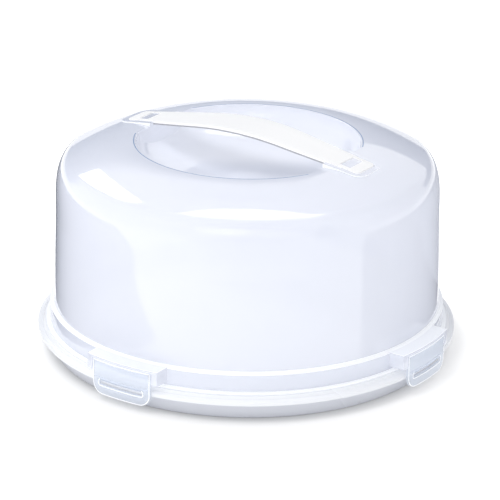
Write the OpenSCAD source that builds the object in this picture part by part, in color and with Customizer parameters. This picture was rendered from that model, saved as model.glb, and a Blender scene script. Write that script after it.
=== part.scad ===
// Round cake carrier: a tray, a clear dome that lifts off it, a carrying
// handle snapped onto the top of the dome, and four clips that hang from the
// dome and close over the edge of the tray.
// +Z is up, the handle runs along X, and the origin is at the centre of the
// foot, on the surface that the carrier stands on.

/* [Tray] */
// How far the foot stands in from the dome's skirt
foot_in = 1.5; // [0.5:0.25:5]
// Width of the flat ring that the tray stands on
foot_w = 6; // [4:0.5:12]
// Height of the gap between the table and the underside of the floor
foot_h = 2; // [1:0.25:4]
// Thickness of the tray's floor
floor_t = 2; // [1.5:0.25:4]
// Thickness of the tray's wall and rim
tray_t = 2; // [1.5:0.25:3]
// Height of the seat that the dome's skirt stands on
seat_z = 20; // [17:0.5:26]
// How far the rim stands out of the dome's skirt
rim_w = 9.5; // [7:0.5:14]
// How far the rim falls from the seat to its edge
rim_fall = 2.2; // [1:0.1:3]
// Height of the rim's turned-down edge
rim_edge_h = 3.5; // [3:0.25:6]
// Height of the lip that keeps the dome centred
lip_h = 6; // [3:0.5:9]
// Thickness of the centring lip
lip_t = 1.8; // [1.2:0.1:2.4]
// Gap between the centring lip and the inside of the skirt
lip_gap = 0.6; // [0.4:0.1:1]

/* [Dome] */
// Outer radius of the skirt round the foot of the dome
skirt_r = 155.5; // [150:0.5:165]
// Height of the skirt
skirt_h = 15.7; // [14:0.1:24]
// How far the wall stands in from the skirt
ledge_w = 3.5; // [2.5:0.25:6]
// Radius of the hollow corner between ledge and wall
ledge_fillet = 2.5; // [1:0.25:4]
// Thickness of the dome
dome_t = 2; // [1.2:0.1:2.5]
// How far the foot flange stands out of the skirt
flange_w = 3; // [1:0.25:4]
// Thickness of the foot flange
flange_t = 1.5; // [1:0.1:2.5]
// Gap between the flange and the tray's seat
seat_gap = 0.3; // [0.3:0.05:0.6]
// Height of the straight wall above the ledge
wall_h = 73; // [50:1:130]
// How far the wall leans in over its height
wall_lean = 2.3; // [0.5:0.1:6]
// Height of the rounded shoulder
shoulder_h = 46.4; // [35:0.2:60]
// Width of the rounded shoulder, seen from above
shoulder_w = 28; // [24:0.5:32]
// How tight the shoulder turns, where 2 is an ellipse
shoulder_n = 3.9; // [2:0.1:6]
// Share of the shoulder's width at which the crown takes over
crown_start = 0.61; // [0.5:0.01:0.65]
// Rise of the recess's lip above the shoulder's full height
crown_h = 9.8; // [5:0.2:14]

/* [Hand recess] */
// Radius of the recess at its lip
bowl_r = 87.4; // [84:0.2:92]
// Depth of the recess at its middle
bowl_depth = 32; // [20:1:40]
// How square the recess is in section, where 2 is an ellipse
bowl_n = 2.4; // [2:0.1:4]
// Distance from the middle to the flat at each end of the recess
bowl_flat = 80.5; // [76:0.5:82]

/* [Handle] */
// Length of the handle from tip to tip
handle_len = 216; // [210:1:224]
// Width of the handle at its middle
handle_w = 36; // [30:0.5:44]
// Width of the handle at its ends
handle_end_w = 25; // [24:0.5:30]
// Thickness of the handle
handle_t = 3; // [2.4:0.1:3.4]
// Rise of the handle's top above the lip of the recess
handle_rise = 12.8; // [9:0.2:20]
// Half length of the curved middle of the handle
handle_bend = 40; // [25:1:60]
// How far the handle's ends stand above the crown
handle_proud = 1.4; // [1:0.1:2]
// Corner radius at the handle's tips
tip_r = 4; // [3:0.5:9]
// Length of the handle beyond each snap window
tip_len = 9.5; // [7:0.5:10]
// Length of each snap window along the handle
window_len = 8.5; // [8:0.5:12]
// Width of each snap window across the handle
window_w = 18; // [12:0.5:19]
// Clearance round the snap lugs and under the handle's ends
snap_gap = 0.3; // [0.2:0.05:0.5]
// Gap between the handle's end and the frame round it
frame_gap = 0.8; // [0.4:0.1:1.2]
// Thickness of the frame round the handle's end
frame_t = 4.6; // [1.6:0.2:5]

/* [Clips] */
// Gap between the tray's rim and the inside of a clip
clip_gap = 1.2; // [0.8:0.1:2]
// Thickness of a clip
clip_t = 1.8; // [1.2:0.1:2.4]
// Half width of the shelf that a clip hangs from
shelf_half = 32.3; // [28:0.1:40]
// Thickness of the shelf and of its cheeks
shelf_t = 1.8; // [1.2:0.1:2.4]
// Height of the shelf's cheeks
cheek_h = 11.5; // [6:0.5:14]
// Width of the front return of each cheek
return_w = 5; // [3:0.25:8]
// Gap between a clip's side and the return beside it
clip_side_gap = 1; // [0.6:0.1:1.5]
// Gap between a clip's top and the shelf above it
hinge_gap = 0.3; // [0.3:0.05:0.5]
// Height of a clip
clip_h = 27.4; // [22:0.2:29]
// Radius of a clip's bottom corners
clip_corner_r = 9; // [3:0.5:10]
// Width of the slot above the catch
slot_w = 40; // [30:0.5:41]
// Height of the slot above the catch
slot_h = 4; // [3:0.25:5]
// How far the catch bead stands in from the clip
bead_d = 0.85; // [0.5:0.05:0.9]
// Height of the catch bead
bead_h = 2.1; // [1.2:0.1:3]
// Gap between the catch bead and the underside of the rim
bead_gap = 0.3; // [0.3:0.1:1]
// How far the grip rib stands out of the clip
rib_d = 0.5; // [0.3:0.1:1.2]
// Height of the grip rib
rib_h = 1.2; // [0.8:0.1:2]

/* [Hidden] */
$fn = 96;

// Overlap of two joined solids, and how far a cutter runs past a face
over = 1;
// Height above everything, and reach beyond everything
high = 260;
wide = 400;
// Size of the small rounded edges
edge_r = 0.8;
// Steps in each curved stretch of an outline
steps = 14;
// Depth of the shallow groove round the rim
groove_d = 0.4;
// How far the frames and snap lugs stay below the handle's top
lug_drop = 0.5;

// Tray
rim_r = skirt_r + rim_w;
rim_edge_z = seat_z - rim_fall;
rim_under_z = rim_edge_z - rim_edge_h;
foot_r = skirt_r - foot_in;
floor_z = foot_h + floor_t;
floor_r = foot_r - 2 * tray_t;
lip_out_r = skirt_r - dome_t - lip_gap;
lip_in_r = lip_out_r - lip_t;
seat_out_r = skirt_r + flange_w + 0.5;
tray_wall_r = lip_in_r + tray_t + 2.6;

// Dome
skirt_z = seat_z + seat_gap;
ledge_z = skirt_z + skirt_h;
wall_r = skirt_r - ledge_w;
wall_top_r = wall_r - wall_lean;
shoulder_z = ledge_z + wall_h;
crown_r = wall_top_r - shoulder_w;
crown_z = shoulder_z + shoulder_h;
bowl_z = crown_z + crown_h;
// The crown leaves the shoulder with the slope that the shoulder has there
join_a = acos(pow(crown_start, shoulder_n / 2));
join_r = crown_r + shoulder_w * crown_start;
join_slope = shoulder_h / shoulder_w * pow(crown_start, shoulder_n - 1)
    * pow(1 - pow(crown_start, shoulder_n), 1 / shoulder_n - 1);
crown_p = max(1, join_slope * (join_r - bowl_r) / (bowl_z - join_height(0)));

// Clips
clip_in_r = rim_r + clip_gap;
clip_out_r = clip_in_r + clip_t;
clip_half = shelf_half - return_w - clip_side_gap;
shelf_under_z = ledge_z - shelf_t;
clip_top_z = shelf_under_z - hinge_gap;
clip_bottom_z = clip_top_z - clip_h;
slot_z = rim_under_z - bead_gap;
// Turn from one clip to the next round the rim
clip_turn = 90;

// Handle
handle_half = handle_len / 2;
handle_top_z = bowl_z + handle_rise;
window_x = handle_half - tip_len - window_len;
// The handle's ends are measured over the middle of their snap windows
handle_end_x = window_x + window_len / 2;
handle_end_z = crown_height(handle_end_x, 0) + handle_proud;
bend_k = (handle_top_z - handle_end_z) / (handle_bend * (2 * handle_end_x - handle_bend));
pocket_half = handle_half + frame_gap;
frame_half = pocket_half + frame_t;

// Height at which the crown leaves the shoulder, drawn in by an inset
function join_height(inset) =
    shoulder_z + (shoulder_h - inset) * pow(sin(join_a), 2 / shoulder_n);

// Height of the crown's outside at radius r, drawn in by an inset
function crown_height(r, inset) =
    let (outer = join_r - inset, low = join_height(inset), t = (outer - r) / (outer - bowl_r))
    t >= 1
    ? bowl_z - inset
    : low + (bowl_z - inset - low) * (1 - pow(1 - t, crown_p));

// Outline of the shoulder and crown from the wall's top to the recess's lip
function shoulder_points(inset) = [
    for (i = [0 : steps])
    let (a = join_a * i / steps)
    [
        crown_r - inset + shoulder_w * pow(cos(a), 2 / shoulder_n),
        shoulder_z + (shoulder_h - inset) * pow(sin(a), 2 / shoulder_n)
    ]
];
function crown_points(inset) = [
    for (i = [1 : steps])
    let (r = join_r - inset + (bowl_r - join_r + inset) * i / steps)
    [r, crown_height(r, inset)]
];

// Outline of the hand recess, grown outwards by a wall's thickness
function bowl_points(grow) = [
    for (i = [0 : steps])
    let (a = 90 * i / steps)
    [
        (bowl_r + grow) * pow(cos(a), 2 / bowl_n),
        bowl_z - (bowl_depth + grow) * pow(sin(a), 2 / bowl_n)
    ]
];

// Height of the handle's top at distance s from the middle
function handle_height(s) =
    abs(s) < handle_bend
    ? handle_top_z - bend_k * s * s
    : handle_top_z - bend_k * handle_bend * (2 * abs(s) - handle_bend);

// Half width of the handle at distance s from the middle
function handle_side(s) =
    handle_w / 2 - (handle_w - handle_end_w) / 2 * pow(min(abs(s) / handle_end_x, 1), 1.7);

// Band along the handle between two levels under its top, for one outline
module handle_band(reach, above, below) {
    xs = [for (i = [-2 * steps : 2 * steps]) reach * i / (2 * steps)];
    upper = [for (x = xs) [x, handle_height(x) + above]];
    lower = [for (i = [len(xs) - 1 : -1 : 0]) [xs[i], handle_height(xs[i]) - below]];
    rotate([90, 0, 0])
        linear_extrude(height = wide / 4, center = true)
        polygon(concat(upper, lower));
}

// Plan of the handle, grown all round, with rounded corners at the tips
module handle_plan(grow) {
    reach = handle_half + grow;
    corner = tip_r + grow;
    side = handle_end_w / 2 + grow;
    taper = [for (i = [0 : steps]) let (x = (reach - corner) * i / steps) [x, handle_side(x) + grow]];
    round_tip = [
        for (i = [0 : steps / 2])
        let (a = 90 - 90 * i / (steps / 2))
        [reach - corner + corner * cos(a), side - corner + corner * sin(a)]
    ];
    quarter = concat(taper, round_tip);
    mirrored = [for (i = [len(quarter) - 1 : -1 : 0]) [quarter[i][0], -quarter[i][1]]];
    for (turn = [0, 180])
        rotate([0, 0, turn])
        polygon(concat([[-over, handle_w / 2 + grow]], quarter, mirrored, [[-over, -handle_w / 2 - grow]]));
}

// Solid of revolution of the dome's outside, closed by a flat top
module dome_outside() {
    fillet = [
        for (i = [0 : steps / 2])
        let (a = 90 * i / (steps / 2))
        [
            wall_r + ledge_fillet * (1 - sin(a)),
            ledge_z + ledge_fillet * (1 - cos(a))
        ]
    ];
    rotate_extrude()
        polygon(concat(
            [
                [0, skirt_z],
                [skirt_r + flange_w, skirt_z],
                [skirt_r + flange_w, skirt_z + flange_t],
                [skirt_r, skirt_z + flange_t],
                [skirt_r, ledge_z - edge_r],
                [skirt_r - edge_r, ledge_z]
            ],
            fillet,
            shoulder_points(0),
            crown_points(0),
            [[0, bowl_z]]
        ));
}

// Solid of revolution that hollows the dome, without the recess
module dome_inside() {
    rotate_extrude()
        polygon(concat(
            [
                [0, skirt_z - over],
                [skirt_r - dome_t, skirt_z - over],
                [skirt_r - dome_t, ledge_z - dome_t],
                [wall_r - dome_t, ledge_z - dome_t]
            ],
            shoulder_points(dome_t),
            crown_points(dome_t),
            [[0, bowl_z - dome_t]]
        ));
}

// The hand recess with flats at the handle's ends, grown by a wall
module recess(grow) {
    intersection() {
        rotate_extrude()
            polygon(concat(
                [[0, high], [bowl_r + grow, high]],
                bowl_points(grow),
                [[0, bowl_z - bowl_depth - grow]]
            ));
        translate([-(bowl_flat + grow), -wide / 2, 0])
            cube([2 * (bowl_flat + grow), wide, high]);
    }
}

// Both ends of the dome beyond the flats of the recess
module beyond_flats() {
    for (turn = [0, 180])
        rotate([0, 0, turn])
        translate([bowl_flat, -wide / 2, 0])
        cube([wide, wide, high]);
}

// Raised frame and floor round both ends of the handle
module pocket_frames() {
    intersection() {
        linear_extrude(height = high)
            handle_plan(frame_gap + frame_t);
        handle_band(frame_half + over, -lug_drop, handle_t + snap_gap + dome_t);
        beyond_flats();
    }
}

// Room for both ends of the handle inside their frames
module pockets() {
    intersection() {
        linear_extrude(height = high)
            handle_plan(frame_gap);
        handle_band(frame_half + over, handle_t, handle_t + snap_gap);
        translate([-frame_half, -wide / 2, 0])
            cube([2 * frame_half, wide, high]);
    }
}

// Upright blocks through both ends of the handle, grown all round
module snap_windows(grow) {
    for (turn = [0, 180])
        rotate([0, 0, turn])
        translate([window_x - grow, -window_w / 2 - grow, 0])
        cube([window_len + 2 * grow, window_w + 2 * grow, high]);
}

// Lugs of the dome that fill the handle's snap windows, just below its top
module snap_lugs() {
    intersection() {
        snap_windows(0);
        handle_band(frame_half, -lug_drop, handle_t + 2 * snap_gap);
    }
}

// Upright band between two radii and two heights, over a given width
module front_band(in_r, out_r, low, tall, across) {
    intersection() {
        difference() {
            translate([0, 0, low])
                cylinder(r = out_r, h = tall);
            translate([0, 0, low - over])
                cylinder(r = in_r, h = tall + 2 * over);
        }
        translate([-across / 2, -wide / 2, low - over])
            cube([across, wide / 2, tall + 2 * over]);
    }
}

// Shelf with cheeks and front returns that one clip hangs from, at the front
module clip_shelf() {
    difference() {
        intersection() {
            translate([0, 0, ledge_z - cheek_h])
                cylinder(r = clip_out_r, h = cheek_h);
            translate([-shelf_half, -wide / 2, 0])
                cube([2 * shelf_half, wide / 2, high]);
        }
        translate([0, 0, -over])
            cylinder(r = skirt_r - dome_t, h = high);
        intersection() {
            cylinder(r = clip_in_r, h = shelf_under_z);
            translate([-shelf_half + shelf_t, -wide / 2, 0])
                cube([2 * (shelf_half - shelf_t), wide / 2, high]);
        }
        front_band(clip_in_r - over, clip_out_r + over, 0, shelf_under_z,
            2 * (shelf_half - return_w));
    }
}

module tray() {
    color("white")
        rotate_extrude()
        polygon([
            [0, foot_h],
            [foot_r - foot_w - foot_h, foot_h],
            [foot_r - foot_w, 0],
            [foot_r - edge_r, 0],
            [foot_r, edge_r],
            [tray_wall_r, rim_edge_z - tray_t - edge_r],
            [tray_wall_r + edge_r, rim_edge_z - tray_t],
            [rim_r - tray_t, rim_edge_z - tray_t],
            [rim_r - tray_t, rim_under_z],
            [rim_r - edge_r / 2, rim_under_z],
            [rim_r, rim_under_z + edge_r / 2],
            [rim_r, rim_edge_z - edge_r],
            [rim_r - edge_r, rim_edge_z],
            [rim_r - rim_w / 3, rim_edge_z + rim_fall / 3],
            [rim_r - rim_w / 3 - groove_d, rim_edge_z + rim_fall / 3 - groove_d],
            [rim_r - rim_w / 3 - 2 * groove_d, rim_edge_z + rim_fall / 3],
            [seat_out_r + groove_d, seat_z - 2 * groove_d],
            [seat_out_r, seat_z],
            [lip_out_r, seat_z],
            [lip_out_r, seat_z + lip_h - edge_r / 2],
            [lip_out_r - edge_r / 2, seat_z + lip_h],
            [lip_in_r + edge_r / 2, seat_z + lip_h],
            [lip_in_r, seat_z + lip_h - edge_r / 2],
            [floor_r, floor_z + 2 * edge_r],
            [floor_r - 2 * edge_r, floor_z],
            [0, floor_z]
        ]);
}

module dome() {
    color([0.86, 0.9, 0.97, 0.55])
        difference() {
            union() {
                difference() {
                    dome_outside();
                    difference() {
                        dome_inside();
                        recess(dome_t);
                    }
                }
                pocket_frames();
                for (i = [0 : 3])
                    rotate([0, 0, i * clip_turn])
                    clip_shelf();
            }
            recess(0);
            difference() {
                pockets();
                snap_lugs();
            }
        }
}

module handle() {
    color("white")
        difference() {
            intersection() {
                linear_extrude(height = high)
                    handle_plan(0);
                handle_band(handle_half + over, 0, handle_t);
            }
            snap_windows(snap_gap);
        }
}

// Flat outline of a clip with round bottom corners, seen from outside
module clip_outline() {
    translate([-clip_half, clip_bottom_z + clip_corner_r])
        square([2 * clip_half, clip_h - clip_corner_r]);
    translate([-clip_half + clip_corner_r, clip_bottom_z])
        square([2 * (clip_half - clip_corner_r), clip_h]);
    for (side = [-1, 1])
        translate([side * (clip_half - clip_corner_r), clip_bottom_z + clip_corner_r])
        circle(r = clip_corner_r);
}

// One clip at the front, curved with the rim, with its slot, bead and rib
module clip() {
    color([0.86, 0.9, 0.97, 0.55]) {
        difference() {
            intersection() {
                front_band(clip_in_r, clip_out_r, clip_bottom_z, clip_h, 2 * clip_half);
                rotate([90, 0, 0])
                    linear_extrude(height = wide / 2)
                    clip_outline();
            }
            translate([-slot_w / 2, -wide / 2, slot_z])
                cube([slot_w, wide / 2 - clip_in_r + wide / 20, slot_h]);
        }
        front_band(clip_in_r - bead_d, clip_in_r + clip_t / 2, slot_z - bead_h, bead_h, slot_w);
        front_band(clip_out_r - clip_t / 2, clip_out_r + rib_d, slot_z + slot_h + rib_h, rib_h,
            2 * clip_half - 2 * rib_h);
    }
}
module clip_front() { clip(); }
module clip_right() { rotate([0, 0, clip_turn]) clip(); }
module clip_back() { rotate([0, 0, 2 * clip_turn]) clip(); }
module clip_left() { rotate([0, 0, 3 * clip_turn]) clip(); }

tray();
dome();
handle();
clip_front();
clip_right();
clip_back();
clip_left();
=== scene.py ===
# %% [markdown]
# # Round cake carrier
# A white tray, a clear dome that lifts off it, a white strap handle over a
# round hand recess, and four clear clips that close over the tray's rim.
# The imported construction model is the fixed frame: every visible piece here
# takes its place from it, rides on one of its bodies and stands for one of
# its nodes.

# %% Load the frame
import math

import bmesh
import bpy
from mathutils import Matrix, Vector


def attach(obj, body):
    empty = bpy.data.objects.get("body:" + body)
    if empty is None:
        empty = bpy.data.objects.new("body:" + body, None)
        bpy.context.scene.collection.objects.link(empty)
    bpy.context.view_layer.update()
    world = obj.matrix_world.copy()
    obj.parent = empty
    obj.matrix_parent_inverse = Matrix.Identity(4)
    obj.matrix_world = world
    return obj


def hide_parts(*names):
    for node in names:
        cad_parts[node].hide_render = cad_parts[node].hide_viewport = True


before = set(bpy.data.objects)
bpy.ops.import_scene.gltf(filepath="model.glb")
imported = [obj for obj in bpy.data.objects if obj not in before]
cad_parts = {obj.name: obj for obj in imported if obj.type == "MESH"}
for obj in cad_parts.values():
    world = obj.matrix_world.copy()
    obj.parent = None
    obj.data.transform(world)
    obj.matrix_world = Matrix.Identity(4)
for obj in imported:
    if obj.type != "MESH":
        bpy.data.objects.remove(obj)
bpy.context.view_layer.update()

# %% [markdown]
# ## Sizes
# The carrier is written in millimetres, as on a drawing, and turned into
# metres where a mesh is made. A name that ends in `_r` is a radius, `_z` a
# height above the table, `_t` a thickness, `_w` a width and `_half` half a
# width. The clear wall has one thickness, `skin`, all over, as mouldings
# usually do, and `_n` is the power that says how square a curve is.

# %% Sizes of the moulded parts
MM = 0.001
TURN = 2 * math.pi
ROUND_STEPS = 240
rim_r, rim_edge_z, rim_under_z, seat_z = 165.0, 17.8, 14.3, 20.0
skirt_r, skirt_z, ledge_z = 155.5, 20.3, 36.0
flange_r, flange_t = 158.5, 1.5
wall_r, wall_top_r, shoulder_z = 152.0, 149.7, 109.0
crown_r, crown_z, shoulder_n, crown_start = 121.7, 155.4, 3.9, 0.61
bowl_r, bowl_z, bowl_depth, bowl_n, bowl_flat = 87.4, 165.2, 32.0, 2.4, 80.5
skin = 2.0
lip_round, lip_ring = 1.1, 0.9
handle_half, handle_top_z, handle_t = 108.0, 178.0, 3.0
handle_bend, handle_end_x = 40.0, 94.25
clip_in_r, clip_out_r, clip_half = 166.2, 168.0, 26.3
clip_low_z, clip_high_z = 6.5, 33.9
shelf_half, shelf_t, shelf_low_z = 32.3, 1.8, 24.5
print("rim across:", 2 * rim_r, "mm, height with the handle:", handle_top_z, "mm")


# %% [markdown]
# ## Outlines
# The mould of a round part is turned on a lathe, so the part is drawn as half
# its section: a run of points from the middle out. Its round corners are
# short arcs in that run. A bevel on the finished solid could make them too,
# but each has its own radius, and here each is simply written where it is.

# %% Corners and straight stretches
def arc(centre_r, centre_z, radius, start, stop, steps=6):
    """Points of a round corner, with the angles in degrees from +r."""
    turns = [math.radians(start + (stop - start) * i / steps) for i in range(steps + 1)]
    return [(centre_r + radius * math.cos(a), centre_z + radius * math.sin(a)) for a in turns]


def run(start, stop, steps):
    """Points between two ends of a straight stretch, both left out."""
    return [tuple(a + (b - a) * i / steps for a, b in zip(start, stop)) for i in range(1, steps)]


print("points of a round corner:", len(arc(0, 0, 1, 0, 90)))

# %% [markdown]
# ## Shoulder
# The shoulder is a superellipse, which turns tighter than a circle and flows
# into the wall without a visible join. `shoulder_n` is its power: 2 would be
# a plain ellipse. The crown takes over from it part of the way round, where
# it has come in to `crown_start`, a share of the way from `crown_r` to the
# wall. `inset` moves the outline in, to draw the inside of the wall.

# %% Shoulder outline
join_a = math.acos(crown_start ** (shoulder_n / 2))
join_r = crown_r + (wall_top_r - crown_r) * crown_start


def join_height(inset):
    """Height at which the crown leaves the shoulder."""
    return shoulder_z + (crown_z - shoulder_z - inset) * math.sin(join_a) ** (2 / shoulder_n)


def shoulder(inset, steps=32):
    """The rounded shoulder from the top of the wall to the crown."""
    points = []
    for i in range(steps + 1):
        a = join_a * i / steps
        r = crown_r - inset + (wall_top_r - crown_r) * math.cos(a) ** (2 / shoulder_n)
        z = shoulder_z + (crown_z - shoulder_z - inset) * math.sin(a) ** (2 / shoulder_n)
        points.append((r, z))
    return points


print("shoulder points:", len(shoulder(0)), "crown starts at radius", round(join_r, 2), "mm")

# %% [markdown]
# ## Crown
# The crown rises gently from the shoulder to the lip of the hand recess. Its
# power `crown_p` is worked out from the shoulder's slope where they meet, so
# that no crease shows there, and the curve is level when it comes to the lip.
# A narrow ring of points beside the lip gives that edge faces of its own.

# %% Crown outline
join_slope = ((crown_z - shoulder_z) / (wall_top_r - crown_r) * crown_start ** (shoulder_n - 1)
              * (1 - crown_start ** shoulder_n) ** (1 / shoulder_n - 1))
crown_p = join_slope * (join_r - bowl_r) / (bowl_z - join_height(0))


def crown_height(r, inset=0.0):
    """Height of the crown at radius r, flat inside the recess's lip."""
    outer, low = join_r - inset, join_height(inset)
    t = min((outer - r) / (outer - bowl_r), 1)
    return low + (bowl_z - inset - low) * (1 - (1 - t) ** crown_p)


def crown(inset, steps=20):
    """The gently rising crown, with a narrow ring round the recess's lip."""
    start, ring = join_r - inset, bowl_r + lip_round + lip_ring
    radii = [start + (ring - start) * i / steps for i in range(1, steps + 1)]
    return [(r, crown_height(r, inset)) for r in radii + [bowl_r + lip_round, bowl_r]]


print("crown height at the lip:", crown_height(bowl_r), "mm")

# %% [markdown]
# ## Hand recess
# A second superellipse, upside down: steep at its lip, where the fingers go
# in, and round at the bottom, where the knuckles are. `grow` moves it out by
# the wall's thickness, to draw its underside.

# %% Recess outline
def bowl(grow, steps=30):
    """The hand recess from its lip to its middle."""
    points = []
    for i in range(steps + 1):
        a = math.pi / 2 * i / steps
        r = (bowl_r + grow) * math.cos(a) ** (2 / bowl_n)
        z = bowl_z - (bowl_depth + grow) * math.sin(a) ** (2 / bowl_n)
        points.append((r, z))
    return points


print("recess points:", len(bowl(0)), "depth:", bowl_depth, "mm")


# %% [markdown]
# ## Turning an outline into a solid
# `bmesh.ops.spin` sweeps the outline round the upright axis, as clay on a
# wheel. The seam is merged, points on the axis are welded into one pole, and
# the normals are worked out again, because a spin can turn a shape inside out.

# %% Spin helper
def spun(points, steps=ROUND_STEPS):
    """A closed solid from a closed half section in millimetres."""
    bm = bmesh.new()
    ring = [bm.verts.new((r * MM, 0, z * MM)) for r, z in points]
    edges = [bm.edges.new((a, b)) for a, b in zip(ring, ring[1:])]
    if points[0][0] > 0 or points[-1][0] > 0:
        edges.append(bm.edges.new((ring[-1], ring[0])))
    bmesh.ops.spin(bm, geom=ring + edges, axis=(0, 0, 1), cent=(0, 0, 0),
                   angle=TURN, steps=steps, use_merge=True)
    bmesh.ops.remove_doubles(bm, verts=bm.verts, dist=1e-7)
    bmesh.ops.dissolve_degenerate(bm, edges=bm.edges, dist=1e-8)
    bmesh.ops.recalc_face_normals(bm, faces=bm.faces)
    return bm


def turned(bm, angle):
    """Turns a mesh about the upright axis."""
    bmesh.ops.rotate(bm, verts=bm.verts, cent=(0, 0, 0), matrix=Matrix.Rotation(angle, 3, "Z"))
    return bm


print("steps of a full turn:", ROUND_STEPS)


# %% [markdown]
# ## Objects and cuts
# A mesh becomes an object that is smooth except at its sharp edges. Solids
# are cut and joined by the Boolean modifier with the Manifold solver, which
# is quick and clean as long as both are closed and carry the same list of
# materials. Its result is kept as the mesh, so that nothing stays live.

# %% Object helpers
def smoothed(mesh, angle):
    """Smooth shading with sharp edges where the surface turns by an angle."""
    mesh.shade_smooth()
    mesh.set_sharp_from_angle(angle=math.radians(angle))


def piece(name, bm, finishes=(), smooth_angle=32):
    """An object from a bmesh, smooth except at its sharp edges."""
    mesh = bpy.data.meshes.new(name)
    for finish in finishes:
        mesh.materials.append(finish)
    bm.to_mesh(mesh)
    bm.free()
    smoothed(mesh, smooth_angle)
    obj = bpy.data.objects.new(name, mesh)
    bpy.context.scene.collection.objects.link(obj)
    return obj


def opened(obj):
    """An object's mesh, open for bmesh operators."""
    bm = bmesh.new()
    bm.from_mesh(obj.data)
    return bm


print("object helpers ready")


# %% Boolean and cutting helpers
def joined(first, second, how):
    """Cuts, joins or intersects two closed solids and keeps the first."""
    modifier = first.modifiers.new("shape", "BOOLEAN")
    modifier.operation = how
    modifier.solver = "MANIFOLD"
    modifier.object = second
    graph = bpy.context.evaluated_depsgraph_get()
    mesh = bpy.data.meshes.new_from_object(first.evaluated_get(graph))
    old = first.data
    first.modifiers.clear()
    first.data = mesh
    mesh.name = first.name
    bpy.data.meshes.remove(old)
    bpy.data.objects.remove(second)
    return first


def added(bm, part):
    """Puts a second closed mesh into the first, beside what is there."""
    mesh = bpy.data.meshes.new("part")
    part.to_mesh(mesh)
    part.free()
    bm.from_mesh(mesh)
    bpy.data.meshes.remove(mesh)


def cut_off(bm, place, way):
    """Cuts off what lies beyond a plane, and closes the cut with a face."""
    cut = bmesh.ops.bisect_plane(bm, geom=bm.verts[:] + bm.edges[:] + bm.faces[:],
                                 plane_co=place, plane_no=way, clear_outer=True)
    rim = [e for e in cut["geom_cut"] if isinstance(e, bmesh.types.BMEdge)]
    if rim:
        bmesh.ops.contextual_create(bm, geom=rim)


print("cutting helpers ready")


# %% [markdown]
# ## Moulded skin
# Every part is polypropylene, and its skin is never quite even: the plastic
# flowed in through one gate and cooled against steel. One group of nodes
# makes both signs of that, a slow wander of the gloss and a fine grain. It
# puts out a roughness and a height, and each material gives it its own
# values. The two small helpers keep the wiring of nodes short.

# %% Node helpers
def maths(tree, how, *values):
    """A Math node that is fed with numbers or with other nodes' outputs."""
    node = tree.nodes.new("ShaderNodeMath")
    node.operation = how
    for socket, value in zip(node.inputs, values):
        if isinstance(value, bpy.types.NodeSocket):
            tree.links.new(value, socket)
        else:
            socket.default_value = value
    return node.outputs[0]


def between(tree, value, low, high):
    """A Map Range node that turns 0 to 1 into low to high."""
    node = tree.nodes.new("ShaderNodeMapRange")
    node.inputs["To Min"].default_value = low
    node.inputs["To Max"].default_value = high
    tree.links.new(value, node.inputs["Value"])
    return node.outputs["Result"]


print("node helpers ready")

# %% Moulded skin, shared by all plastics
SKIN_INPUTS = (("Base", 0.2), ("Unevenness", 0.05), ("Flow Scale", 9.0), ("Grain Scale", 900.0))
GRAIN_HEIGHT = 0.06


def moulded_skin_group():
    """Wander of the gloss and fine grain, from a place on the object."""
    group = bpy.data.node_groups.new("moulded_skin", "ShaderNodeTree")
    face = group.interface
    face.new_socket("Vector", in_out="INPUT", socket_type="NodeSocketVector")
    for name, value in SKIN_INPUTS:
        face.new_socket(name, in_out="INPUT", socket_type="NodeSocketFloat").default_value = value
    for name in ("Roughness", "Height"):
        face.new_socket(name, in_out="OUTPUT", socket_type="NodeSocketFloat")
    given = group.nodes.new("NodeGroupInput")
    made = group.nodes.new("NodeGroupOutput")
    waves = []
    for scale, detail in (("Flow Scale", 2.0), ("Grain Scale", 3.0)):
        noise = group.nodes.new("ShaderNodeTexNoise")
        noise.inputs["Detail"].default_value = detail
        group.links.new(given.outputs["Vector"], noise.inputs["Vector"])
        group.links.new(given.outputs[scale], noise.inputs["Scale"])
        waves.append(noise.outputs["Fac"])
    flow, grain = waves
    gloss = maths(group, "MULTIPLY_ADD", flow, given.outputs["Unevenness"], given.outputs["Base"])
    height = maths(group, "MULTIPLY_ADD", grain, GRAIN_HEIGHT, flow)
    group.links.new(gloss, made.inputs["Roughness"])
    group.links.new(height, made.inputs["Height"])
    return group


moulded_skin = moulded_skin_group()
print("skin inputs:", [name for name, value in SKIN_INPUTS])


# %% [markdown]
# ## A plastic
# Each plastic is a Principled shader with its own colour and gloss. The
# shared skin reads the place on the object, so it stays put when a part
# moves, and gives the shader its roughness and a shallow bump.

# %% Plastic helper
def plastic(name, colour, ior, roughness, uneven, bump, coat=0.0):
    """A plastic with its own colour and the shared moulded skin."""
    material = bpy.data.materials.new(name)
    material.use_nodes = True
    nodes, links = material.node_tree.nodes, material.node_tree.links
    shader = nodes["Principled BSDF"]
    shader.inputs["Base Color"].default_value = (*colour, 1)
    shader.inputs["IOR"].default_value = ior
    shader.inputs["Coat Weight"].default_value = coat
    place = nodes.new("ShaderNodeTexCoord")
    look = nodes.new("ShaderNodeGroup")
    look.node_tree = moulded_skin
    look.inputs["Base"].default_value = roughness
    look.inputs["Unevenness"].default_value = uneven
    links.new(place.outputs["Object"], look.inputs["Vector"])
    links.new(look.outputs["Roughness"], shader.inputs["Roughness"])
    relief = nodes.new("ShaderNodeBump")
    relief.inputs["Strength"].default_value = bump
    relief.inputs["Distance"].default_value = 0.0004
    links.new(look.outputs["Height"], relief.inputs["Height"])
    links.new(relief.outputs["Normal"], shader.inputs["Normal"])
    return material, shader


print("plastic helper ready")

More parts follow.
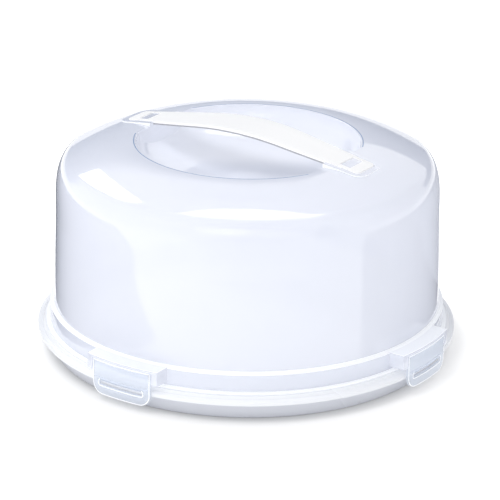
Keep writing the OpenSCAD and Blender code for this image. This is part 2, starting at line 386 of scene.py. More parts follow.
# %% [markdown]
# ## Clear plastic
# Clear plastic is drawn here as a thin veil of its own colour: little of it
# hides what is behind when it is looked through squarely, and more when it is
# looked along, so Layer Weight raises the Alpha there. A glass shader would
# bend the light as well, but through the dome's many skins it gives noise,
# and an exported model loses it. The veil has two ends, `square` and
# `edge_on`: the share of sight that one skin stops when it is met in those
# two ways. Light on its way through to the tray is stopped less than sight
# is, because a clear dome throws hardly any shadow.

# %% Clear plastic helper
LIGHT_STOPPED = 0.22


def clear_plastic(name, colour, square, edge_on, ior=1.5, coat=0.0, glow=0.0,
                  shade=LIGHT_STOPPED):
    """A veil of colour under a gloss, denser where it is met edge on."""
    material, shader = plastic(name, colour, ior, 0.04, 0.04, 0.03, coat)
    tree = material.node_tree
    # The glow is painted light: the finish's own emission, where no lamp is.
    shader.inputs["Emission Color"].default_value = (1, 1, 1, 1)
    shader.inputs["Emission Strength"].default_value = glow
    facing = tree.nodes.new("ShaderNodeLayerWeight")
    facing.inputs["Blend"].default_value = 0.5
    veil = between(tree, facing.outputs["Facing"], square, edge_on)
    path = tree.nodes.new("ShaderNodeLightPath")
    passing = maths(tree, "MAXIMUM", path.outputs["Is Shadow Ray"], path.outputs["Is Diffuse Ray"])
    stopped = between(tree, passing, 1.0, shade)
    tree.links.new(maths(tree, "MULTIPLY", veil, stopped), shader.inputs["Alpha"])
    return material


print("the wall stops light", LIGHT_STOPPED, "times as much as sight")

# %% [markdown]
# ## Clear finishes
# One clear plastic looks different from place to place. The wall shows a
# milky blue cast with a second, sharp gloss over it. Rounded and cut edges
# have a brighter colour with a little light of their own, a painted glow for
# the light that clear edges gather. The ring beside the recess's lip and the
# top of each slot are dark and blue, painted dark lines for the lip's dark
# reflection and the slot's shade. The skirt, shelves and clips have the white
# tray close behind them. The clips have a cast of their own; the skirt's is
# a darker copy of the wall's, painted shade, and the shelf tops' a whiter one
# with a little light of its own, a painted glow.

# %% Clear finishes
# The edges' lighter colour, part of their painted glow.
PAINTED_GLOW_WHITE = (0.95, 0.97, 1.0)
clear_dome = clear_plastic("milky_clear", (0.84, 0.865, 0.955), 0.42, 0.95, coat=0.7)
painted_glow_edge = clear_plastic("bright_edge_painted_glow", PAINTED_GLOW_WHITE, 0.8, 0.95, ior=1.25, glow=0.11)
clear_clip = clear_plastic("milky_clip", (0.8, 0.855, 0.955), 0.3, 0.8, shade=0.8)
painted_glow_clip_edge = clear_plastic("bright_clip_edge_painted_glow", PAINTED_GLOW_WHITE, 0.85, 0.95, ior=1.25, glow=0.1, shade=0.8)
painted_glow_shelf = clear_plastic("milky_shelf_painted_glow", (0.93, 0.955, 1.0), 0.6, 0.95, ior=1.3, glow=0.08)
painted_shade_skirt = clear_plastic("milky_skirt_painted_shade", (0.79, 0.825, 0.93), 0.42, 0.95, coat=0.7)
painted_dark_edge = clear_plastic("deep_lip_painted_dark", (0.26, 0.36, 0.56), 0.5, 0.9)
print("clear finishes:", [m.name for m in bpy.data.materials if "_" in m.name])


# %% [markdown]
# ## White finishes
# The tray and handle are filled with white. The tray has a satin gloss, and
# its foot, which turns away from the light, a greyer copy of that white:
# painted shade. The handle is whiter and softer, and the lowest band of its
# edge is a grey painted shade line.

# %% White finishes
def filled_plastic(name, colour, ior, roughness):
    """A plastic that lets no light through."""
    return plastic(name, colour, ior, roughness, 0.08, 0.05)[0]


white_tray = filled_plastic("satin_white", (0.91, 0.925, 0.96), 1.5, 0.22)
painted_shade_foot = filled_plastic("foot_white_painted_shade", (0.79, 0.81, 0.87), 1.5, 0.22)
white_handle = filled_plastic("soft_white", (0.985, 0.985, 0.985), 1.3, 0.35)
painted_shade_line = filled_plastic("painted_shade_line", (0.4, 0.4, 0.44), 1.3, 0.5)
print("materials:", [m.name for m in bpy.data.materials])

# %% [markdown]
# ## The tray
# The tray is one turned section: a foot ring that carries everything, a low
# wall, a wide rim with a turned-down edge for stiffness, and a thin lip inside
# it that keeps the dome centred. Its corners are rounded as moulded ones are,
# and a fine groove runs round the rim just outside the dome's seat. The
# outside of the wall and foot gets the greyer finish, painted shade.

# %% Tray section
foot_r, foot_w, foot_h, floor_z = 154.0, 6.0, 2.0, 4.0
lip_out_r, lip_in_r, lip_top_z = 152.9, 151.1, 26.0
tray_in_r, tray_wall_r, seat_out_r, floor_round = 150.0, 155.7, 159.0, 2.2
groove = [(162.0, 18.5), (161.7, 18.35), (161.2, 18.35), (160.9, 18.75)]
tray_section = (
    [(0.0, foot_h)]
    + [(foot_r - foot_w - foot_h, foot_h), (foot_r - foot_w, 0.0)]
    + arc(foot_r - 1.0, 1.0, 1.0, -90, -10)
    + [(tray_wall_r, rim_edge_z - 3.0)]
    + arc(tray_wall_r + 1.0, rim_edge_z - 3.0, 1.0, 180, 90)
    + [(rim_r - 2.0, rim_edge_z - 2.0), (rim_r - 2.0, rim_under_z)]
    + arc(rim_r - 0.6, rim_under_z + 0.6, 0.6, -90, 0)
    + arc(rim_r - 1.3, rim_edge_z - 1.3, 1.3, 0, 76)
    + groove
    + arc(seat_out_r + 0.2, seat_z - 0.8, 0.8, 30, 90)
    + [(lip_out_r + 0.4, seat_z), (lip_out_r, seat_z + 0.4)]
    + arc(lip_out_r - 0.8, lip_top_z - 0.8, 0.8, 0, 90)
    + arc(lip_in_r + 0.6, lip_top_z - 0.8, 0.6, 90, 180)
    + arc(tray_in_r - floor_round, floor_z + floor_round, floor_round, 0, -90)
    + [(0.0, floor_z)]
)
print("points of the tray's section:", len(tray_section))

# %% Tray
shell = spun(tray_section)
# The outside of the wall and foot takes a greyer copy of the white: painted shade.
for f in shell.faces:
    middle = f.calc_center_median() / MM
    away = math.hypot(middle.x, middle.y)
    if middle.z < rim_under_z and tray_in_r + 0.5 < away < tray_wall_r + 1.5:
        f.material_index = 1
tray = piece("tray_shell", shell, [white_tray, painted_shade_foot])
print("tray faces:", len(tray.data.polygons))


# %% [markdown]
# ## The recess as a cutter
# The hand recess is pressed down into the dome from above, so it is made as
# a solid that cuts. Both its ends are flat, because the handle's feet stand
# there, so the turned shape is sliced at two planes. The finished recess also
# gets a rounded lip; its underside, inside the dome, needs none.

# %% Recess helper
def recess(grow, lip=0.0):
    """The recess as a closed solid, grown by a wall and sliced at its flats."""
    top = bowl_z + 60.0
    sides = bowl(grow)
    if lip:
        below = [p for p in sides if p[1] < bowl_z - lip - 0.5]
        corner = arc(bowl_r + lip, bowl_z - lip, lip, 90, 180)
        sides = [(bowl_r + lip + 0.01, bowl_z + 0.01)] + corner + below
    bm = spun([(0.0, top), (sides[0][0], top)] + sides)
    flat = (bowl_flat + grow) * MM
    for side in (1, -1):
        cut_off(bm, (side * flat, 0, 0), (side, 0, 0))
    bmesh.ops.recalc_face_normals(bm, faces=bm.faces)
    return bm


print("recess between its flats:", 2 * bowl_flat, "mm")

# %% [markdown]
# ## The dome's sections
# The dome is made the way its mould works: one section for the cavity that
# shapes the outside and one for the core that hollows it. From the foot up
# they run through a flange that sits on the tray, a skirt, a ledge, the tall
# wall, the shoulder and the crown.

# %% Dome sections
outside = (
    [(0.0, skirt_z), (flange_r - 0.4, skirt_z)]
    + arc(flange_r - 0.5, skirt_z + 0.5, 0.5, -90, 0, 3)
    + arc(flange_r - 0.5, skirt_z + flange_t - 0.5, 0.5, 0, 90, 3)
    + arc(skirt_r + 0.5, skirt_z + flange_t + 0.5, 0.5, 270, 180, 3)
    + run((skirt_r, skirt_z + flange_t + 0.5), (skirt_r, ledge_z - 1.0), 5)
    + arc(skirt_r - 1.0, ledge_z - 1.0, 1.0, 0, 90)
    + arc(wall_r + 2.0, ledge_z + 2.0, 2.0, 270, 180)
    + run((wall_r, ledge_z + 2.0), (wall_top_r, shoulder_z), 24)
    + shoulder(0)
    + crown(0)
    + [(0.0, bowl_z)]
)
core = (
    [(0.0, skirt_z - 5.0), (skirt_r - skin, skirt_z - 5.0)]
    + [(skirt_r - skin, ledge_z - skin - 1.0), (skirt_r - skin - 1.0, ledge_z - skin)]
    + arc(wall_r - skin + 1.0, ledge_z - skin + 1.0, 1.0, 270, 180, 3)
    + run((wall_r - skin, ledge_z - skin + 1.0), (wall_top_r - skin, shoulder_z), 24)
    + shoulder(skin)
    + crown(skin)
    + [(0.0, bowl_z - skin)]
)
print("points outside and inside:", len(outside), len(core))

# %% [markdown]
# ## The dome's shell
# While the shell is still one turned solid, each face gets its finish by
# where it is: a painted glow on the ledge and flange, a painted dark line in
# the ring beside the lip, and the skirt's darker copy, painted shade, round
# the skirt. Cuts keep these finishes. The core is then taken out, less the
# room that the recess needs.

# %% Dome shell
# Finish numbers: EDGE is a painted glow, LIP a painted dark line, SKIRT painted shade and TOP a
# painted glow.
FACE, EDGE, LIP, SKIRT, TOP = range(5)
clear = (clear_dome, painted_glow_edge, painted_dark_edge, painted_shade_skirt, painted_glow_shelf)
shell = spun(outside)
for f in shell.faces:
    middle = f.calc_center_median() / MM
    away = math.hypot(middle.x, middle.y)
    on_ledge = wall_r + 0.3 < away and ledge_z - 1.1 < middle.z < ledge_z + 1.6
    on_flange = skirt_r + 0.1 < away and middle.z < skirt_z + flange_t + 0.4
    on_lip = lip_round < away - bowl_r < lip_round + lip_ring and middle.z > shoulder_z
    if on_ledge or on_flange:
        f.material_index = EDGE
    # The ring beside the lip takes the dark finish, a painted dark line for the lip's dark
    # reflection.
    elif on_lip and abs(middle.x) < bowl_flat:
        f.material_index = LIP
    # The skirt takes a darker copy of the wall's finish: painted shade.
    elif away > skirt_r - 0.5:
        f.material_index = SKIRT
dome = piece("dome_shell", shell, clear)
hollow = piece("hollow", spun(core), clear)
joined(hollow, piece("recess_wall", recess(skin), clear), "DIFFERENCE")
joined(dome, hollow, "DIFFERENCE")
print("dome faces so far:", len(dome.data.polygons))

# %% [markdown]
# ## Handle outline
# The handle, the frames round its feet and the pockets inside them all follow
# one bent strap. It starts as a grid that is bent to the handle's arch and
# drawn in to its waist, with the grid's rows closer together near the round
# tips, and is then extruded down to the wanted thickness. An extrusion leaves
# the faces that it started from. After the first they are the strap's top.
# After a second, which makes the band of grey painted shade along the lower
# edge, they would stay inside as a wall, so they are deleted there.

# %% Strap sizes and arch
handle_w, handle_end_w, tip_r, waist_power = 36.0, 25.0, 4.0, 1.7
frame_gap, frame_t, snap_gap, lug_drop, end_rise = 0.8, 4.6, 0.3, 0.5, 1.4
handle_end_z = crown_height(handle_end_x) + end_rise
bend = (handle_top_z - handle_end_z) / (handle_bend * (2 * handle_end_x - handle_bend))


def handle_height(x):
    """Height of the strap's top: round in the middle, straight to its ends."""
    if abs(x) < handle_bend:
        return handle_top_z - bend * x * x
    return handle_top_z - bend * handle_bend * (2 * abs(x) - handle_bend)


print("handle rises", round(handle_top_z - handle_end_z, 2), "mm above its feet")


# %% Strap helper
def strap(grow, above, below, line=0.0, steps=112, across=8):
    """The strap between two levels under its top, grown all round in plan."""
    reach, corner = handle_half + grow, tip_r + grow
    bm = bmesh.new()
    bmesh.ops.create_grid(bm, x_segments=steps, y_segments=across, size=1)
    for v in bm.verts:
        x = reach * math.sin(math.pi / 2 * v.co.x)
        narrow = min(abs(x) / handle_end_x, 1) ** waist_power
        waist = handle_w / 2 - (handle_w - handle_end_w) / 2 * narrow + grow
        past = max(abs(x) - (reach - corner), 0)
        half = waist - corner + math.sqrt(max(corner * corner - past * past, 0))
        v.co = Vector((x, v.co.y * half, handle_height(x) + above)) * MM
    layer = bm.faces[:]
    for drop in (above + below - line, line):
        if drop:
            made = bmesh.ops.extrude_face_region(bm, geom=layer)["geom"]
            if drop == line:
                bmesh.ops.delete(bm, geom=layer, context="FACES")
            low = [v for v in made if isinstance(v, bmesh.types.BMVert)]
            layer = [f for f in made if isinstance(f, bmesh.types.BMFace)]
            bmesh.ops.translate(bm, verts=low, vec=(0, 0, -drop * MM))
    # The faces round the lowest band take the second finish, a grey painted shade line.
    if line:
        for f in {f for v in low for f in v.link_faces} - set(layer):
            f.material_index = 1
    bmesh.ops.recalc_face_normals(bm, faces=bm.faces)
    return bm


print("handle is", 2 * handle_half, "mm long and", handle_w, "mm wide")


# %% [markdown]
# ## Blocks and rounding
# Two small helpers: a box with rounded upright edges, for windows and cuts,
# and a bevel that finds the edges to round by how far they turn, so that it
# follows any outline.

# %% Block and rounding helpers
def block(low, high, round_up=0.0):
    """A box between two corners in millimetres, its upright edges rounded."""
    bm = bmesh.new()
    bmesh.ops.create_cube(bm, size=1)
    size = [b - a for a, b in zip(low, high)]
    middle = [(a + b) / 2 for a, b in zip(low, high)]
    for v in bm.verts:
        v.co = Vector([v.co[i] * size[i] + middle[i] for i in range(3)]) * MM
    if round_up:
        upright = [e for e in bm.edges if abs(e.verts[0].co.z - e.verts[1].co.z) > 1e-6]
        bmesh.ops.bevel(bm, geom=upright, offset=round_up * MM, affect="EDGES",
                        segments=5, profile=0.5, material=-1)
    return bm


def rounded(bm, size, angle=40, segments=3, material=-1):
    """Rounds every edge that turns by more than an angle."""
    limit = math.radians(angle)
    sharp = [e for e in bm.edges if len(e.link_faces) == 2 and e.calc_face_angle() > limit]
    bmesh.ops.bevel(bm, geom=sharp, offset=size * MM, affect="EDGES", segments=segments,
                    profile=0.5, material=material, clamp_overlap=True)
    return bm


print("block and rounding helpers ready")

# %% [markdown]
# ## The handle
# A flat white strap with a snap window near each tip. The windows are cut
# first, so that the same rounding runs round the outline and the windows.

# %% Handle
window_x, window_len, window_w, window_round = 90.0, 8.5, 18.0, 1.2
window_low_z, window_high_z = 140, 200
shade_line_h, handle_round = 1.1, 0.8


def windows(grow):
    """Upright blocks through both ends of the handle."""
    pair = bmesh.new()
    half = window_w / 2 + grow
    for side in (1, -1):
        near, far = window_x - grow, window_x + window_len + grow
        low_x, high_x = sorted((side * near, side * far))
        low, high = (low_x, -half, window_low_z), (high_x, half, window_high_z)
        added(pair, block(low, high, window_round))
    return pair


# The handle's second finish is the grey painted shade line along its lower edge.
handle_looks = (white_handle, painted_shade_line)
handle = piece("strap_handle", strap(0, 0, handle_t, line=shade_line_h), handle_looks)
joined(handle, piece("windows", windows(snap_gap), handle_looks), "DIFFERENCE")
soft = rounded(opened(handle), handle_round)
soft.to_mesh(handle.data)
soft.free()
smoothed(handle.data, 40)
print("handle faces:", len(handle.data.polygons))


# %% [markdown]
# ## Shelves for the clips
# At each quarter of the skirt the ledge runs out into a flat shelf with a
# cheek at each side and a short return in front. It is turned like the rest,
# sliced to width and opened from inside. Its top gets a whiter finish with a
# little light of its own, a painted glow; a border of the edges' painted glow
# is inset round it, and its rounded edges get the same painted glow.

# %% Shelf helpers
def bordered(bm, faces, width):
    """Gives a group of faces a border of the bright finish, a painted glow."""
    border = bmesh.ops.inset_region(bm, faces=faces, thickness=width * MM, use_even_offset=True)
    for f in border["faces"]:
        f.material_index = EDGE


def ring_block(in_r, out_r, low, high, half):
    """The front part of a turned ring, in millimetres, within half a width."""
    bm = spun([(in_r, low), (out_r, low), (out_r, high), (in_r, high)])
    cut_off(bm, (half * MM, 0, 0), (1, 0, 0))
    cut_off(bm, (-half * MM, 0, 0), (-1, 0, 0))
    cut_off(bm, (0, 0, 0), (0, 1, 0))
    bmesh.ops.recalc_face_normals(bm, faces=bm.faces)
    return bm


print("shelf is", 2 * shelf_half, "mm wide")

# %% Clip shelf
shelf_under_z, shelf_border, shelf_round, front_return = ledge_z - shelf_t, 1.0, 0.6, 5.0
shelf_block = ring_block(skirt_r - 1.0, clip_out_r, shelf_low_z, ledge_z, shelf_half)
room = ring_block(skirt_r - 3.0, clip_in_r, shelf_low_z - 5, shelf_under_z, shelf_half - shelf_t)
mouth = ring_block(clip_in_r - 1, clip_out_r + 1, shelf_low_z - 5, shelf_under_z,
                   shelf_half - front_return)
shelf = piece("shelf", shelf_block, clear)
joined(shelf, piece("room", room, clear), "DIFFERENCE")
joined(shelf, piece("mouth", mouth, clear), "DIFFERENCE")
soft = opened(shelf)
bmesh.ops.dissolve_limit(soft, angle_limit=math.radians(0.3), verts=soft.verts, edges=soft.edges)
top_z = (ledge_z - 0.1) * MM
# The shelf's top takes the whiter finish with a painted glow.
top = [f for f in soft.faces if f.normal.z > 0.9 and f.calc_center_median().z > top_z]
for f in top:
    f.material_index = TOP
bordered(soft, top, shelf_border)
rounded(soft, shelf_round, segments=2, material=EDGE)
soft.to_mesh(shelf.data)
soft.free()
print("shelf faces:", len(shelf.data.polygons))

# %% [markdown]
# ## Finishing the dome
# Now the pieces of the dome are put together: four shelves round the skirt
# and the frames round the handle's feet. Then the recess and the pockets are
# cut, and the snap lugs are left standing inside the handle's windows.

# %% Shelves and frames on the dome
frame_depth = 5.3
for turn in range(4):
    copy = turned(opened(shelf), turn * TURN / 4)
    joined(dome, piece("shelf_copy", copy, clear), "UNION")
bpy.data.objects.remove(shelf)

collar = strap(frame_gap + frame_t, -lug_drop, frame_depth)
# The frames' side walls take the edges' painted glow.
for f in collar.faces:
    f.material_index = EDGE if abs(f.normal.z) < 0.5 else FACE
frames = piece("frames", collar, clear)
between_feet = block((-bowl_flat, -60, 100), (bowl_flat, 60, 220))
joined(frames, piece("middle", between_feet, clear), "DIFFERENCE")
joined(dome, frames, "UNION")
print("dome faces with shelves and frames:", len(dome.data.polygons))

# %% Recess, pockets and lugs
lug_depth = 3.6
joined(dome, piece("recess_cut", recess(0, lip_round), clear), "DIFFERENCE")
pockets = piece("pockets", strap(frame_gap, handle_t, handle_t + snap_gap), clear)
# The lugs' rounded edges take the edges' painted glow.
lugs = piece("lugs", rounded(windows(0), 0.4, segments=2, material=EDGE), clear)
joined(lugs, piece("band", strap(0, -lug_drop, lug_depth), clear), "INTERSECT")
joined(pockets, lugs, "DIFFERENCE")
joined(dome, pockets, "DIFFERENCE")
smoothed(dome.data, 32)
counts = [sum(p.material_index == kind for p in dome.data.polygons) for kind in (FACE, EDGE, LIP)]
print("dome faces, edges and lip:", counts)


# %% [markdown]
# ## Flat clip
# A clip is a thin plate that follows the rim. It is cut out flat, because
# there its round corners, its slot and the catch bead behind it are plain
# plates, and bent afterwards. Its front gets a border of painted glow round
# the edge and round the slot, and the slot's upper wall the dark finish,
# painted shade. The grip rib on the front is a closed bar of its own, sunk a
# little into the plate, so that the border below it stays whole.

# %% Plate helper
def plate(half, low_z, high_z, thick, corner_low, corner_high, back=0.0):
    """A flat upright plate with rounded corners, its outside towards -y."""
    bm = bmesh.new()
    corners = (
        [(half - corner_low, low_z + corner_low, corner_low, -90, 0)]
        + [(half - corner_high, high_z - corner_high, corner_high, 0, 90)]
        + [(-half + corner_high, high_z - corner_high, corner_high, 90, 180)]
        + [(-half + corner_low, low_z + corner_low, corner_low, 180, 270)]
    )
    outline = [p for c in corners for p in arc(*c, steps=8)]
    face = bm.faces.new([bm.verts.new((x * MM, -back * MM, z * MM)) for x, z in outline])
    out = bmesh.ops.extrude_face_region(bm, geom=[face])
    moved = [v for v in out["geom"] if isinstance(v, bmesh.types.BMVert)]
    bmesh.ops.translate(bm, verts=moved, vec=(0, -thick * MM, 0))
    bmesh.ops.recalc_face_normals(bm, faces=bm.faces)
    return bm


clip_t = clip_out_r - clip_in_r
print("clip plate is", round(clip_t, 2), "mm thick")

# %% Flat clip with slot and bead
clip_corner, slot_half, slot_low_z, slot_high_z = 9.0, 20.0, 14.0, 18.0
bead_h, bead_t, bead_sunk = 2.1, 0.85, 0.9
clip_looks = (clear_clip, painted_glow_clip_edge, painted_dark_edge)
clip_plate = plate(clip_half, clip_low_z, clip_high_z, clip_t, clip_corner, 0.6)
slot = plate(slot_half, slot_low_z, slot_high_z, 8, 1.2, 1.2, -3)
bead = plate(slot_half, slot_low_z - bead_h, slot_low_z, bead_t + bead_sunk, 0.5, 0.5, -bead_t)
clip_flat = piece("clip_flat", clip_plate, clip_looks)
joined(clip_flat, piece("slot", slot, clip_looks), "DIFFERENCE")
joined(clip_flat, piece("bead", bead, clip_looks), "UNION")
print("flat clip faces:", len(clip_flat.data.polygons))

# %% Border, rounding and rib
clip_border, clip_round = 0.95, 0.4
rib_low_z, rib_high_z, rib_t, rib_sunk = 19.2, 20.4, 0.45, 0.05
soft = opened(clip_flat)
bpy.data.objects.remove(clip_flat)
bmesh.ops.dissolve_limit(soft, angle_limit=math.radians(0.3), verts=soft.verts, edges=soft.edges)
front_y = -0.99 * clip_t * MM
# The front's border takes the clip edges' painted glow.
bordered(soft, [f for f in soft.faces if f.calc_center_median().y < front_y], clip_border)
# The slot's upper wall takes the dark finish: painted shade.
for f in soft.faces:
    middle = f.calc_center_median() / MM
    if slot_high_z - 0.1 < middle.z < slot_high_z + 1.0 and abs(middle.x) < slot_half - 1:
        f.material_index = LIP if f.normal.z < -0.9 else FACE
rounded(soft, clip_round, segments=2)
added(soft, plate(clip_half - 1.2, rib_low_z, rib_high_z, rib_t + rib_sunk, 0.4, 0.4,
                  clip_t - rib_sunk))
print("clip faces before bending:", len(soft.faces))

# %% [markdown]
# ## Bent clips
# The flat clip is sliced into narrow strips so that it can bend, and each
# point is moved back onto the round of the rim. Four copies are turned to the
# four sides. Weighted normals keep their flat fronts looking flat beside the
# small rounded edges.

# %% Clips
STRIP = 3.0
strips = int(clip_half / STRIP)
for step in range(-strips, strips + 1):
    bmesh.ops.bisect_plane(soft, geom=soft.verts[:] + soft.edges[:] + soft.faces[:],
                           plane_co=(step * STRIP * MM, 0, 0), plane_no=(1, 0, 0))
for v in soft.verts:
    r = clip_in_r * MM - v.co.y
    v.co.y = -math.sqrt(r * r - v.co.x ** 2)
clips = {}
for turn, side in enumerate(("front", "right", "back", "left")):
    copy = turned(soft.copy(), turn * TURN / 4)
    clips[side] = piece("clip_plate_" + side, copy, clip_looks)
    clips[side].modifiers.new("even_normals", "WEIGHTED_NORMAL").keep_sharp = True
soft.free()
counts = [sum(p.material_index == kind for p in clips["front"].data.polygons)
          for kind in (FACE, EDGE)]
print("clip faces and edges:", counts)

# %% [markdown]
# ## Who carries what
# Each visible piece moves with the body of the node that it stands for. The
# handle is snapped to the dome, so it rides on it.

# %% Ride and replace
for visible, node, body, finish in (
    [(tray, "tray", "tray", "white_tray"), (dome, "dome", "dome", "clear_dome")]
    + [(handle, "handle", "dome", "white_handle")]
    + [(clips[side], "clip_" + side, "clip_" + side, "clear_clip") for side in clips]
):
    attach(visible, body)
    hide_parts(node)
print("pieces:", [tray.name, dome.name, handle.name] + [c.name for c in clips.values()])

# %% [markdown]
# ## Camera
# The camera stands where the photograph's stood: a long lens, about 2 m away
# and 21.5 degrees above the table, looking at the dome from a third of the
# way between the handle's end and its side. Its small roll and yaw were
# fitted with the rest.

# %% Camera
FOCAL_PX, FRAME_PX, SENSOR_MM = 2600.0, 500.0, 36.0
pitch, roll, yaw = 0.3757, -0.0124, 0.0012
stand_off, height, handle_turn = 1.9054755, 0.8251164, math.radians(34)
forward = Vector((math.sin(yaw) * math.cos(pitch), math.cos(yaw) * math.cos(pitch),
                  -math.sin(pitch)))
level = Vector((math.cos(yaw), -math.sin(yaw), 0))
down = forward.cross(level)
right = math.cos(roll) * level + math.sin(roll) * down
up = math.sin(roll) * level - math.cos(roll) * down
axes = Matrix((right, up, -forward)).transposed().to_4x4()
lens = bpy.data.cameras.new("camera")
lens.sensor_width = SENSOR_MM
lens.lens = FOCAL_PX / FRAME_PX * SENSOR_MM
lens.clip_end = 20
camera = bpy.data.objects.new("camera", lens)
camera.matrix_world = (Matrix.Rotation(handle_turn, 4, "Z")
                       @ Matrix.Translation((0, -stand_off, height)) @ axes)
bpy.context.scene.collection.objects.link(camera)
bpy.context.scene.camera = camera
print("camera at", [round(c, 3) for c in camera.matrix_world.translation], "lens", lens.lens, "mm")

# %% [markdown]
# ## White table
# A product shot often stands on a light table: white acrylic lit from below,
# so that the background is white and only a soft shadow stays under the
# object. Here the table's own light grows with the distance from a point just
# in front of the carrier's middle, by a colour ramp, so that its dimmer middle
# is a painted shadow round the carrier; the rest of its white is plain paint
# that takes the lamps' shadow. What is seen directly, in gloss or through
# glass gets a touch more light, which puts none on the object.

# %% White table
# Each stop is a distance in metres and the table's own light there; the low stops near the carrier
# are a painted shadow.
TABLE_GLOW_PAINTED_SHADOW = ((0.146, 0.02), (0.162, 0.42), (0.176, 0.55), (0.2, 0.7), (0.3, 0.88))
PAINTED_SHADOW_MIDDLE = (0.0034, -0.005, 0.0)


def seen_straight(tree):
    """1 for what is seen directly, in gloss or through glass, otherwise 0."""
    path = tree.nodes.new("ShaderNodeLightPath")
    direct = maths(tree, "MAXIMUM", path.outputs["Is Camera Ray"], path.outputs["Is Glossy Ray"])
    return maths(tree, "MAXIMUM", direct, path.outputs["Is Transmission Ray"])


def table_with_painted_shadow(name, albedo, glow):
    """White with its own light, dimmed near the carrier as a painted shadow, that takes the lamps'
    shadow too.
    """
    material = bpy.data.materials.new(name)
    material.use_nodes = True
    tree = material.node_tree
    nodes, links = tree.nodes, tree.links
    shader = nodes["Principled BSDF"]
    shader.inputs["Base Color"].default_value = (albedo, albedo, albedo, 1)
    shader.inputs["Roughness"].default_value = 0.6
    shader.inputs["Specular IOR Level"].default_value = 0.0
    shader.inputs["Emission Color"].default_value = (1, 1, 1, 1)
    place = nodes.new("ShaderNodeTexCoord")
    away = nodes.new("ShaderNodeVectorMath")
    away.operation = "DISTANCE"
    away.inputs[1].default_value = PAINTED_SHADOW_MIDDLE
    links.new(place.outputs["Object"], away.inputs[0])
    spread = nodes.new("ShaderNodeValToRGB")
    links.new(away.outputs["Value"], spread.inputs["Fac"])
    stops = spread.color_ramp.elements
    stops.remove(stops[-1])
    for i, (distance, light) in enumerate(TABLE_GLOW_PAINTED_SHADOW):
        stop = stops.new(distance) if i else stops[0]
        stop.position = distance
        stop.color = (light, light, light, 1)
    lit = maths(tree, "MULTIPLY_ADD", seen_straight(tree), glow, spread.outputs["Color"])
    links.new(lit, shader.inputs["Emission Strength"])
    return material


floor_bm = bmesh.new()
bmesh.ops.create_circle(floor_bm, cap_ends=True, radius=6.0, segments=96)
floor = piece("floor", floor_bm, [table_with_painted_shadow("table_with_painted_shadow", 0.55, 0.04)])
print("table light by distance (m):", TABLE_GLOW_PAINTED_SHADOW)


# %% [markdown]
# ## Dark cards
# A clear dome on a white table shows by what it mirrors. A photographer
# puts dark cards just outside the picture, and their reflections draw the
# wall's darker sides and the dark sweep over the shoulder and crown. Three
# cards lie on the table at the carrier's sides and two stand behind it, the
# larger fading to white as it rises. They show only in gloss: the camera, the
# soft light and the shadows pass them by.

# %% Card helper
def card(name, corners, shade, fade=None):
    """A plain card between corners in millimetres, placed as in the photograph."""
    bm = bmesh.new()
    bm.faces.new([bm.verts.new(Vector(corner) * MM) for corner in corners])
    paint = bpy.data.materials.new(name)
    paint.use_nodes = True
    nodes, links = paint.node_tree.nodes, paint.node_tree.links
    shader = nodes["Principled BSDF"]
    shader.inputs["Base Color"].default_value = (*shade, 1)
    shader.inputs["Specular IOR Level"].default_value = 0.0
    if fade:
        place = nodes.new("ShaderNodeTexCoord")
        part = nodes.new("ShaderNodeSeparateXYZ")
        rise = nodes.new("ShaderNodeMapRange")
        rise.interpolation_type = "SMOOTHSTEP"
        rise.inputs["From Min"].default_value, rise.inputs["From Max"].default_value = fade
        mix = nodes.new("ShaderNodeMix")
        mix.data_type = "RGBA"
        mix.inputs["A"].default_value = (*shade, 1)
        mix.inputs["B"].default_value = (1, 1, 1, 1)
        links.new(place.outputs["Object"], part.inputs["Vector"])
        links.new(part.outputs["Z"], rise.inputs["Value"])
        links.new(rise.outputs["Result"], mix.inputs["Factor"])
        links.new(mix.outputs["Result"], shader.inputs["Base Color"])
    obj = piece(name, turned(bm, handle_turn), [paint])
    obj.visible_camera = obj.visible_diffuse = obj.visible_shadow = False
    return obj


print("card helper ready")

# %% Cards
cards = [
    card("card_left", [(-900, -232, 1), (-185, -226, 1), (-185, 900, 1), (-900, 900, 1)],
         (0.05, 0.06, 0.09)),
    card("card_right", [(185, -160, 1), (900, -380, 1), (900, 110, 1), (185, 110, 1)],
         (0.3, 0.31, 0.35)),
    card("card_right_far", [(185, 110, 1), (900, 110, 1), (900, 900, 1), (185, 900, 1)],
         (0.5, 0.52, 0.58)),
    card("card_back",
         [(-2000, 1600, 330), (150, 1600, 330), (150, 1600, 2400), (-2000, 1600, 2400)],
         (0.13, 0.17, 0.26), fade=(0.85, 1.4)),
    card("card_back_right",
         [(150, 1600, 300), (2000, 1600, 300), (2000, 1600, 720), (150, 1600, 720)],
         (0.12, 0.15, 0.23)),
]
print("cards:", [c.name for c in cards])

# %% [markdown]
# ## Surround
# The world is a plain pale surround. As light on the object it is held at a
# level at which colours render about as they are written, and where it is
# seen directly, in gloss or through glass it is white.

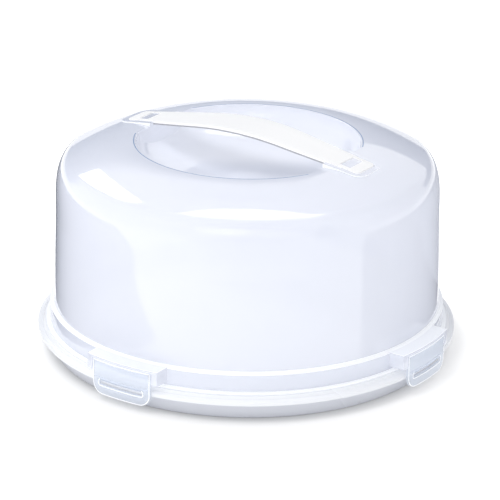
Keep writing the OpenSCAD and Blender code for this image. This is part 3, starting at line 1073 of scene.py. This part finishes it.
# %% Surround
PLAIN_LEVEL, SEEN_LEVEL = 0.66, 1.0
world = bpy.data.worlds.new("surround")
world.use_nodes = True
bpy.context.scene.world = world
plain = world.node_tree.nodes["Background"]
plain.inputs["Color"].default_value = (0.965, 0.975, 1.0, 1)
strength = between(world.node_tree, seen_straight(world.node_tree), PLAIN_LEVEL, SEEN_LEVEL)
world.node_tree.links.new(strength, plain.inputs["Strength"])
print("surround at", PLAIN_LEVEL, "on the object and", SEEN_LEVEL, "where it is seen")


# %% [markdown]
# ## Lamps
# Each soft panel has one job. The overhead one is seen only in gloss and
# makes the bright crescents round the recess. The key puts the handle's soft
# shadow into the recess and has no gloss of its own. A narrow panel behind at
# the left makes the wedge of light on the shoulder, and a wide weak one fills
# the front.

# %% Lamps
def softbox(name, azimuth, elevation, distance, wide, tall, watts, lean=0, shape="ELLIPSE"):
    """A soft panel that faces the carrier from a side of the photograph."""
    a, e = math.radians(azimuth) + handle_turn, math.radians(elevation)
    way = Vector((math.sin(a) * math.cos(e), -math.cos(a) * math.cos(e), math.sin(e)))
    lamp = bpy.data.lights.new(name, "AREA")
    lamp.shape = shape
    lamp.size, lamp.size_y = wide, tall
    lamp.energy = watts
    obj = bpy.data.objects.new(name, lamp)
    obj.matrix_world = (Matrix.Translation(way * distance + Vector((0, 0, 0.1)))
                        @ way.to_track_quat("Z", "Y").to_matrix().to_4x4()
                        @ Matrix.Rotation(math.radians(lean), 4, "Z"))
    bpy.context.scene.collection.objects.link(obj)
    return obj


softbox("overhead", 165, 79, 1.3, 0.9, 0.5, 5.2).visible_diffuse = False
softbox("key", -45, 60, 1.6, 0.6, 0.6, 7.8).visible_glossy = False
softbox("back_left", -145, 41, 1.5, 0.2, 0.66, 2.2, lean=-24, shape="RECTANGLE")
softbox("front_fill", -15, 25, 2.2, 1.2, 0.8, 3.5)

# %% [markdown]
# ## Finish
# A line of sight can cross many clear skins, so more of them than usual are
# let through before it ends.

# %% Finish
bpy.context.scene.view_settings.view_transform = "Standard"
bpy.context.scene.cycles.transparent_max_bounces = 32
